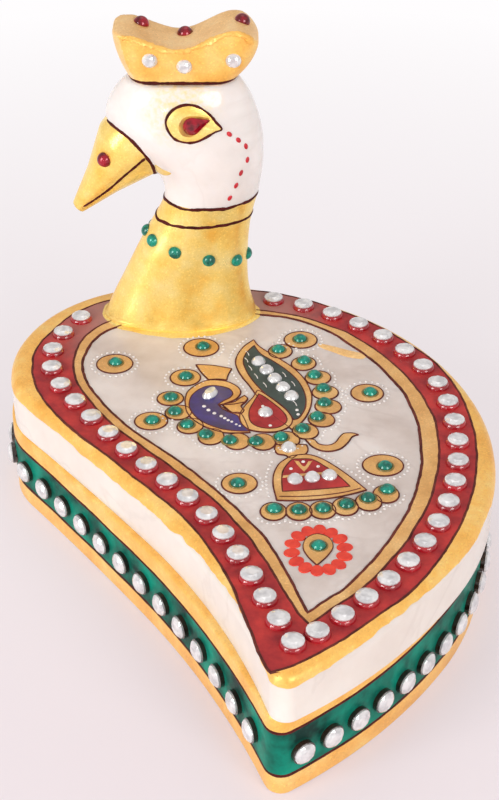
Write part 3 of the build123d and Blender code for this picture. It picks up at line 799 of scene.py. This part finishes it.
FLOWER = (12.4, -30.5)
PETALS = 14
for k in range(PETALS):
    angle = tau * (k + 0.3) / PETALS
    reach = Vector((4.8 * cos(angle), 5.6 * sin(angle)))
    petal = oval((FLOWER[0] + reach.x, FLOWER[1] + reach.y), 1.5, 1.2, atan2(reach.y, reach.x), 20)
    paint_petals.add(patch(petal, 0.14 + 0.05 * (k % 2)))
heart = cornered(
    [(12, -34.7), (10.5, -32.4), (9.7, -30), (10.1, -27.8), (11.2, -26.6), (12.4, -26.2), (13.8, -26.7),
     (14.8, -27.9), (15, -30), (13.8, -32.4)])
gilded(heart, 0.18, 0.1)
smear = smooth(
    [(14.8, 37.2), (15.2, 35.6), (17.6, 33.9), (20.6, 32), (23.8, 31.3), (24.4, 33), (21, 34.6),
     (17.5, 36.3)], 6, closed=True)
painted("lid_gold_smear", ON_LID, gold_worn, patch(smear, 0.03))
wing_ticks = ((-0.2, 33.2), (-0.4, 30.6), (0.4, 27.6), (1.6, 24.6), (3.4, 21.4), (7.4, 25.2), (9.2, 21.8),
              (9.8, 18.2), (9.4, 14.8))
for x, y in wing_ticks:
    tick = smooth([(x - 0.5, y + 0.9), (x, y), (x + 0.2, y - 0.9)], 4)
    paint_dots.add(line(on_lid(tick, 0.16), 0.1, 0.05))

for piece in (paint_gold, paint_blue, paint_red, paint_wing, paint_lines, paint_dots, paint_petals,
              gold_over):
    piece.make()

# The bird and its crest: carved copies of the CAD solids, with joins worn soft


def carved(node, voxel, rounds):
    """A closed copy of a carved solid with its hard joins softened, as hand polish leaves them."""
    copy = show(node + "_rough", frame["nodes"][node].data.copy())
    remesh = copy.modifiers.new("grain", "REMESH")
    remesh.mode = "VOXEL"
    remesh.voxel_size = voxel * MM
    polish = copy.modifiers.new("polish", "SMOOTH")
    polish.factor = 0.5
    polish.iterations = rounds
    seen = copy.evaluated_get(bpy.context.evaluated_depsgraph_get())
    mesh = bpy.data.meshes.new_from_object(seen)
    bpy.data.objects.remove(copy)
    mesh.materials.clear()
    for polygon in mesh.polygons:
        polygon.use_smooth = True
    return mesh


def show_carving(name, mesh, node, materials, choose):
    for material in materials:
        mesh.materials.append(material)
    for polygon in mesh.polygons:
        polygon.material_index = choose(polygon.center / MM, polygon.normal)
    made = show(name, mesh)
    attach(made, "lid")
    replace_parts(made, node)


def surface(mesh):
    points = [vertex.co / MM for vertex in mesh.vertices]
    return BVHTree.FromPolygons(points, [list(polygon.vertices) for polygon in mesh.polygons])


bird_mesh = carved("bird", 0.36, 4)
bird_skin = surface(bird_mesh)
crest_mesh = carved("crest", 0.4, 10)
crest_skin = surface(crest_mesh)
MIDDLE = PIVOT.y

# The beak's root: distance along the beak's slope at each height
BEAK_SLOPE = Vector((0.633, 0, 0.774))
beak_root = ((61.0, 35.6), (62.5, 36.2), (64.5, 37.8), (66.9, 39.4), (69.5, 40.8), (71.9, 41.5),
             (73.8, 41.7), (75.3, 40.6), (78.0, 39.5))


def root_at(height):
    for (low, a), (high, b) in zip(beak_root, beak_root[1:]):
        if height <= high:
            return a + (b - a) * max(0.0, (height - low) / (high - low))
    return beak_root[-1][1]


# The neck's gold ends at a collar, a little higher at the back, and the beak lies in front of the face
COLLAR = 58.0
COLLAR_RISE = 0.06
NECK_MIDDLE = -8
FACE = -18.7


def bird_paint(place, _):
    """Gold (1) on the neck and the beak, marble (0) on the head."""
    neck_end = COLLAR + COLLAR_RISE * (place.x - NECK_MIDDLE)
    beak = place.x < FACE and place.dot(BEAK_SLOPE) < root_at(place.z)
    return 1 if place.z < neck_end or beak else 0


show_carving("bird_carving", bird_mesh, "bird", (marble_head, gold_bird_painted_light), bird_paint)
show_carving("crest_carving", crest_mesh, "crest", (gold, gold_worn),
             lambda place, normal: 1 if normal.z > 0.5 or normal.x < -0.6 else 0)


def on_skin(skin, x, z, side):
    """The carving's surface at a place seen from one side: -1 from the front, 1 from behind."""
    clear_of_it = 60
    start = Vector((x, MIDDLE + side * clear_of_it, z))
    place, normal, _, _ = skin.ray_cast(start, Vector((0, -side, 0)))
    return (place, normal) if place else None


def round_skin(skin, centre, height, tilt=0.0, wobble=0.0, reach=40):
    """Places and normals round the carving at a height that rises by tilt per millimetre of x."""
    neck_radius, count = 9, 128
    found = []
    for k in range(count):
        away = Vector((cos(tau * k / count), sin(tau * k / count), 0))
        start = Vector((centre, MIDDLE, 0)) + away * reach
        shift = wobble * noise.noise(Vector((away.x * 3, away.y * 3, height)))
        start.z = height + shift + tilt * away.x * neck_radius
        place, normal, _, _ = skin.ray_cast(start, -away)
        found.append((place, normal))
    return found


bird_lines = Piece("bird_lines", *ON_BIRD, dark)
bird_gold = Piece("bird_eye_gold", *ON_BIRD, gold_bird_painted_light)
# A darker amber ring round the eye's stone, over its gold.
bird_eye_ring = Piece("bird_eye_amber_ring", *ON_BIRD, amber_ring_paint)
bird_dots = Piece("bird_red_dots", *ON_BIRD, crimson)


def skin_line(piece, found, width, height, closed=False, uneven=0.45):
    found = [item for item in found if item]
    places, normals = zip(*found)
    piece.add(line(places, width, height, normals, closed, uneven))


for centre, height, tilt, width in ((NECK_MIDDLE, 57.8, COLLAR_RISE, 0.38), (-9, 53.4, 0.03, 0.32)):
    skin_line(bird_lines, round_skin(bird_skin, centre, height, tilt, 0.5, 14), width, 0.16, closed=True)

beak_edge = smooth([(-28.6, 47.8, 75.4), (-26.8, 45.2, 75.0), (-24.3, 43.5, 73.8), (-22.3, 42.9, 71.9),
                    (-20.6, 42.9, 69.5), (-19.5, 44.0, 66.9), (-19.2, 46.1, 64.3), (-19.3, 48.4, 62.6)], 5)
mouth = smooth(
    [(-20.9, 69.2), (-23.0, 67.3), (-25.7, 64.4), (-28.5, 61.2), (-31.6, 58.2), (-34.4, 55.8)], 6)
eye = smooth(
    [(-16.4, 77.9), (-15.6, 79.7), (-14.0, 80.9), (-11.8, 81.3), (-9.6, 80.6), (-7.7, 79.1), (-6.5, 77.5),
     (-5.4, 76.1), (-6.7, 75.7), (-8.2, 75.0), (-10.2, 74.1), (-12.2, 73.9), (-14.2, 74.4), (-15.6, 75.7)],
    4, closed=True)
eye_bed = smooth(
    [(-14.0, 77.0), (-13.3, 78.7), (-11.6, 79.3), (-9.8, 79.1), (-7.7, 78.5), (-9.0, 77.2), (-10.2, 75.8),
     (-11.6, 75.0), (-13.3, 75.4)], 4, closed=True)
cheek_dots = ((-3.9, 74.8), (-2.1, 73.2), (-0.6, 71.5), (-0.3, 68.5), (-1.6, 66.0), (-2.6, 63.3),
              (-3.9, 60.5))


def draped(skin, path, side, lift):
    """A thin patch of paint laid on the carving inside an outline."""
    middle = (sum(x for x, _ in path) / len(path), sum(z for _, z in path) / len(path))
    shares = (1.0, 1.0, 0.94, 0.75, 0.5, 0.25)
    lifts = (-SUNK, lift * 0.4, lift, lift, lift, lift)
    points, count, rings = [], len(path), len(shares) - 1
    for share, rise in zip(shares, lifts):
        for x, z in path:
            place, normal = on_skin(skin, middle[0] + (x - middle[0]) * share,
                                    middle[1] + (z - middle[1]) * share, side)
            points.append(place + normal * rise)
    for rise in (lift, -SUNK):
        place, normal = on_skin(skin, *middle, side)
        points.append(place + normal * rise)
    top = len(points) - 2
    faces = []
    for ring in range(rings):
        faces += ring_faces(count, ring * count, (ring + 1) * count)
    for k in range(count):
        m = (k + 1) % count
        faces += [[rings * count + k, rings * count + m, top], [m, k, top + 1]]
    return points, faces


for side in (-1, 1):
    edge = []
    for x, y, z in beak_edge:
        place, normal, _, _ = bird_skin.find_nearest(Vector((x, MIDDLE + side * (MIDDLE - y), z)))
        edge.append((place, normal))
    skin_line(bird_lines, edge, 0.34, 0.16)
    skin_line(bird_lines, [on_skin(bird_skin, x, z, side) for x, z in mouth], 0.28, 0.14)
    skin_line(bird_lines, [on_skin(bird_skin, x, z, side) for x, z in eye], 0.3, 0.24, closed=True)
    bird_gold.add(draped(bird_skin, eye, side, 0.14))
    bird_eye_ring.add(draped(bird_skin, eye_bed, side, 0.17))
    for k, (x, z) in enumerate(cheek_dots):
        place, normal = on_skin(bird_skin, x, z, side)
        ahead = cheek_dots[min(k + 1, len(cheek_dots) - 1)]
        behind = cheek_dots[max(k - 1, 0)]
        run = Vector((ahead[0] - behind[0], 0, ahead[1] - behind[1]))
        bird_dots.add(dome(place, 0.46, 0.22, normal, 1.5, run - normal * run.dot(normal)))

crest_foot = round_skin(crest_skin, -13, 84.75)
skin_line(bird_lines, crest_foot, 0.42, 0.14, closed=True)

# The bead along the top of the crest's near face: found from above, then from in front
crest_bead = Piece("crest_gold_bead", "lid", "gilt_marble_crest", gold)
bead = []
BEAD_START, BEAD_LENGTH, BEAD_STEPS = -24.6, 25.2, 90
for k in range(BEAD_STEPS + 1):
    x = BEAD_START + BEAD_LENGTH * k / BEAD_STEPS
    top, _, _, _ = crest_skin.ray_cast(Vector((x, MIDDLE - 4.6, 120)), -UP)
    if top:
        slope = Vector((0, 1, -1)).normalized()
        place, normal, _, _ = crest_skin.ray_cast(Vector((x, MIDDLE - 6.2, top.z)) - slope * 20, slope)
        bead.append((place + normal * 0.12 * noise.noise(place * 2), normal))
skin_line(crest_bead, bead, 0.6, 0.5, uneven=0.8)
crest_bead.make()

# Gold at the neck's foot, spilt a little over the lid and more so in front
neck_foot = Piece("neck_gold_foot", *ON_BIRD, gold_bird_painted_light)
foot = round_skin(bird_skin, PIVOT.x, LID_TOP + 0.5)
skin_line(neck_foot, foot, 0.5, 0.1, closed=True, uneven=0.3)
spill = []
for place, _ in foot:
    away = Vector((place.x - PIVOT.x, place.y - MIDDLE)).normalized()
    reach = 0.7 + 1.3 * max(0.0, -away.y) + 1.2 * max(0.0, noise.noise(Vector((place.x, place.y, 1.3)) / 4))
    spill.append((place.x + away.x * reach, place.y + away.y * reach))
neck_foot.add(patch(spill, 0.16, 0.2))
neck_foot.make()
smudge = smooth([(-19.0, 67.4), (-17.4, 66.6), (-15.7, 66.1), (-16.9, 64.9), (-18.6, 64.6)], 5, closed=True)
painted("bird_gold_smudges", ON_BIRD, gold_bird_painted_light, *(draped(bird_skin, smudge, side, 0.04) for side in (-1, 1)))
for piece in (bird_lines, bird_gold, bird_eye_ring, bird_dots):
    piece.make()

# Stones


def solids_of(node):
    """Each separate solid of a node, as its points in millimetres."""
    mesh = frame["nodes"][node].data
    places, merged = {}, []
    for vertex in mesh.vertices:
        key = tuple(round(c, 6) for c in vertex.co)
        merged.append(places.setdefault(key, len(places)))
    group = list(range(len(places)))

    def head(k):
        while group[k] != k:
            group[k] = group[group[k]]
            k = group[k]
        return k

    for polygon in mesh.polygons:
        corners = [merged[v] for v in polygon.vertices]
        for corner in corners[1:]:
            group[head(corner)] = head(corners[0])
    found = {}
    for key, k in places.items():
        found.setdefault(head(k), []).append(key)
    return [np.array(points) / MM for points in found.values()]


def setting_of(points, towards):
    """A round stone's foot, axis, radius and height, with the axis on the side of the given direction."""
    middle = (points.min(0) + points.max(0)) / 2
    values, vectors = np.linalg.eigh(np.cov((points - points.mean(0)).T))
    odd = 0 if values[1] - values[0] > values[2] - values[1] else 2
    axis = vectors[:, odd]
    if axis @ np.array(towards(middle)) < 0:
        axis = -axis
    along = (points - middle) @ axis
    across = np.linalg.norm((points - middle) - np.outer(along, axis), axis=1)
    foot = middle + axis * along.min()
    return Vector(foot), Vector(axis), across.max(), along.max() - along.min()


def faceted_stones(name, node, body, towards, raised=0.0):
    """Faceted stones in the place of their plain solids, raised where they lie on a bead of varnish."""
    stones = Piece(name, body, "clear_glass", clear_glass, faceted=True)
    for k, points in enumerate(solids_of(node)):
        foot, axis, radius, height = setting_of(points, towards)
        stones.add(chaton(foot + axis * raised, axis, radius, height - raised, k * 0.7))
    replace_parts(stones.make(), node)


def collar(place, inner, outer, high):
    """A low round bead about the foot of a stone on the lid."""
    count = 24
    first = UP.orthogonal().normalized()
    second = UP.cross(first).normalized()
    middle, half = (inner + outer) / 2, (outer - inner) / 2
    section = [(inner, -SUNK)]
    section += [(middle - half * cos(pi * k / 6), high * sin(pi * k / 6)) for k in range(7)]
    loops = []
    for radius, rise in section + [(outer, -SUNK)]:
        loops.append([place + (first * cos(tau * k / count) + second * sin(tau * k / count)) * radius
                      + UP * rise for k in range(count)])
    return hoop(loops)


def pear_stone(points, axis):
    """A pear-shaped stone with a faceted crown, over the outline of its plain solid."""
    along = points @ np.array(axis)
    flat = {tuple(np.round(p - (a - along.min()) * np.array(axis), 3)) for p, a in zip(points, along)}
    middle = Vector(np.mean(list(flat), axis=0))
    first = axis.orthogonal().normalized()
    second = axis.cross(first)
    ring = sorted((Vector(p) for p in flat),
                  key=lambda p: atan2((p - middle).dot(second), (p - middle).dot(first)))
    high, count = along.max() - along.min(), len(ring)
    made = ring + [p + axis * high * 0.5 for p in ring]
    made += [middle + (p - middle) * 0.5 + axis * (high + 0.25) for p in ring]
    faces = [list(range(count))[::-1], list(range(2 * count, 3 * count))]
    return made, faces + ring_faces(count, 0, count) + ring_faces(count, count, 2 * count)


def upward(_):
    return (0, 0, 1)


def off_the_wall(middle):
    nearest = min(range(COUNT), key=lambda i: hypot(base_loop[i].x - middle[0], base_loop[i].y - middle[1]))
    return (base_out[nearest].x, base_out[nearest].y, 0)


def off_the_crest(middle):
    return (0, middle[1] - MIDDLE, 0)


# Height of the bead of varnish that a border stone sits in
VARNISH = 0.95
faceted_stones("border_faceted_stones", "lid_border_stones", "lid", upward, VARNISH)
for name, node, body, towards in (
        ("stud_faceted_stones", "stud_stones", "base", off_the_wall),
        ("crest_faceted_stones", "crest_clear_stones", "lid", off_the_crest),
        ("wing_faceted_stones", "wing_clear_stones", "lid", upward),
        ("bell_faceted_stones", "bell_clear_stones", "lid", upward),
        ("drop_faceted_stone", "drop_clear_stone", "lid", upward),
        ("pendant_faceted_stone", "pendant_clear_stone", "lid", upward)):
    faceted_stones(name, node, body, towards)

varnish = Piece("border_stone_varnish", *ON_LID, red_pool)
VARNISH_SIDES = 24
turns = [tau * k / VARNISH_SIDES for k in range(VARNISH_SIDES)]
bead_section = ((1.6, -SUNK), (1.6, VARNISH), (1.9, VARNISH), (2.12, 0.82), (2.3, 0.5), (2.38, 0.2),
                (2.4, 0), (2.4, -SUNK))
for points in solids_of("lid_border_stones"):
    foot, _, _, _ = setting_of(points, upward)
    varnish.add(hoop([[foot + Vector((r * cos(turn), r * sin(turn), rise)) for turn in turns]
                      for r, rise in bead_section]))
varnish.make()
# A darker olive ring round the foot of each green stone on the lid.
olive_rings = Piece("green_stone_olive_rings", *ON_LID, olive_ring_paint)
lid_green_stones = ("roundel_green_stones", "tail_green_stones", "fringe_green_stones", "flower_green_stone")
for node in lid_green_stones:
    for points in solids_of(node):
        foot, _, radius, _ = setting_of(points, upward)
        olive_rings.add(collar(foot + UP * PAINT, radius * 0.96, radius + 0.42, 0.24))
olive_rings.make()
for node in ("neck_green_stones",) + lid_green_stones:
    coat(node, green_glass)
for node in ("beak_red_stones", "crest_red_stones"):
    coat(node, red_glass)
pupils = Piece("eye_faceted_stones", "lid", "red_glass", red_glass, faceted=True)
for points in solids_of("eye_stones"):
    _, axis, _, _ = setting_of(points, off_the_crest)
    pupils.add(pear_stone(points, axis))
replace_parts(pupils.make(), "eye_stones")
coat("peacock_head_stone", clear_glass)
coat("stud_lac_beds", lac)
for node in ("pivot_rod", "pivot_washer", "pivot_nut"):
    coat(node, brass)
coat("base_body", marble)
# Painted shade: the lid's level top faces take the darker copy of its marble.
coat("lid_slab", marble, marble_painted_shade_top)
for polygon in frame["nodes"]["lid_slab"].data.polygons:
    polygon.material_index = 1 if polygon.normal.z > 0.99 and polygon.center.z / MM > LID_TOP - 0.1 else 0

# Floor, light and camera


def studio_floor():
    """A pale sweep of paper under the box, its colour painted darker and pinker near the box as painted
    shade; farther off it glows whiter for camera and glossy rays.
    """
    material, tree, place = begin("pale_paper_floor")
    reach = add(tree, "VectorMath", {"operation": "DISTANCE", 1: (0, -0.06, 0)}, {0: place})
    away = add(tree, "MapRange", {"From Min": 0.02, "From Max": 0.36}, {"Value": reach.outputs["Value"]})
    # Painted shade: the floor's colour is darker and pinker near the box, white far off.
    tone = add(tree, "ValToRGB", {"stops": ((0.0, "#F1E6EA"), (1.0, "#FFFDFE"))}, {"Fac": away})
    shade = add(tree, "BsdfDiffuse", {}, {"Color": tone})
    glow = add(tree, "Emission", {"Strength": 1.0}, {"Color": tone})
    rays = add(tree, "LightPath")
    seen = add(tree, "Math", {"operation": "MAXIMUM"},
               {0: rays.outputs["Is Camera Ray"], 1: rays.outputs["Is Glossy Ray"]})
    share = add(tree, "MapRange", {"To Min": 0.45, "To Max": 1.0}, {"Value": away})
    mixing = add(tree, "Math", {"operation": "MULTIPLY"}, {0: seen, 1: share})
    both = add(tree, "MixShader", {}, {0: mixing, 1: shade, 2: glow})
    add(tree, "OutputMaterial", {}, {"Surface": both})
    mesh = bpy.data.meshes.new("studio_floor")
    half, count, below = 2.0, 8, -0.0002
    row = count + 1
    points = [(-half + 2 * half * i / count, -half + 2 * half * j / count, below)
              for j in range(row) for i in range(row)]
    faces = [(j * row + i, j * row + i + 1, (j + 1) * row + i + 1, (j + 1) * row + i)
             for j in range(count) for i in range(count)]
    mesh.from_pydata(points, [], faces)
    mesh.materials.append(material)
    floor = show("studio_floor", mesh)


def soft_light(name, place, aim, size, watts, tall=None):
    """A white lamp with a round or oval face."""
    lamp = bpy.data.lights.new(name, "AREA")
    lamp.shape = "ELLIPSE"
    lamp.size = size
    lamp.size_y = tall or size
    lamp.energy = watts
    made = show(name, lamp)
    made.location = place
    made.rotation_euler = (Vector(aim) - Vector(place)).to_track_quat("-Z", "Y").to_euler()


def studio_world():
    """A white room: plain light for matt surfaces, and brighter where gloss and glass look out."""
    plain, more_in_gloss, more_seen = 0.52, 0.2, 0.43
    world = bpy.data.worlds.new("white_room")
    world.use_nodes = True
    tree = world.node_tree
    tree.nodes.clear()
    rays = add(tree, "LightPath")
    gloss = add(tree, "Math", {"operation": "MULTIPLY_ADD", 1: more_in_gloss, 2: plain},
                {0: rays.outputs["Is Glossy Ray"]})
    level = add(tree, "Math", {"operation": "MULTIPLY_ADD", 1: more_seen},
                {0: rays.outputs["Is Camera Ray"], 2: gloss})
    sky = add(tree, "Background", {"Color": linear("#FBF6F5")}, {"Strength": level})
    add(tree, "OutputWorld", {}, {"Surface": sky})
    bpy.context.scene.world = world


studio_floor()
studio_world()
AIM = (0, 0, 0.03)
soft_light("key_softbox", (-0.58, -0.44, 0.4), AIM, 0.4, 2.4)
soft_light("strip_softbox", (-0.62, -0.38, 0.16), (-0.014, 0.05, 0.05), 0.12, 0.9, 0.4)
soft_light("fill_softbox", (0.42, -0.58, 0.4), AIM, 0.4, 2.4)
for side in (-1, 1):
    soft_light("glint_lamp", (side * 0.25, -0.75, 0.2), AIM, 0.06, 0.2)
soft_light("top_softbox", (0.05, 0.3, 0.8), AIM, 0.5, 0.4)

# The photo's own view, 35 degrees above level
camera = bpy.data.cameras.new("camera")
camera.sensor_width = 36.0
camera.lens = 73.575
camera.clip_start = 0.01
view = show("camera", camera)
view.location = (0.00011, -0.25423, 0.218)
view.rotation_euler = (radians(55), 0, 0)
bpy.context.scene.camera = view
bpy.context.scene.view_settings.view_transform = "Standard"
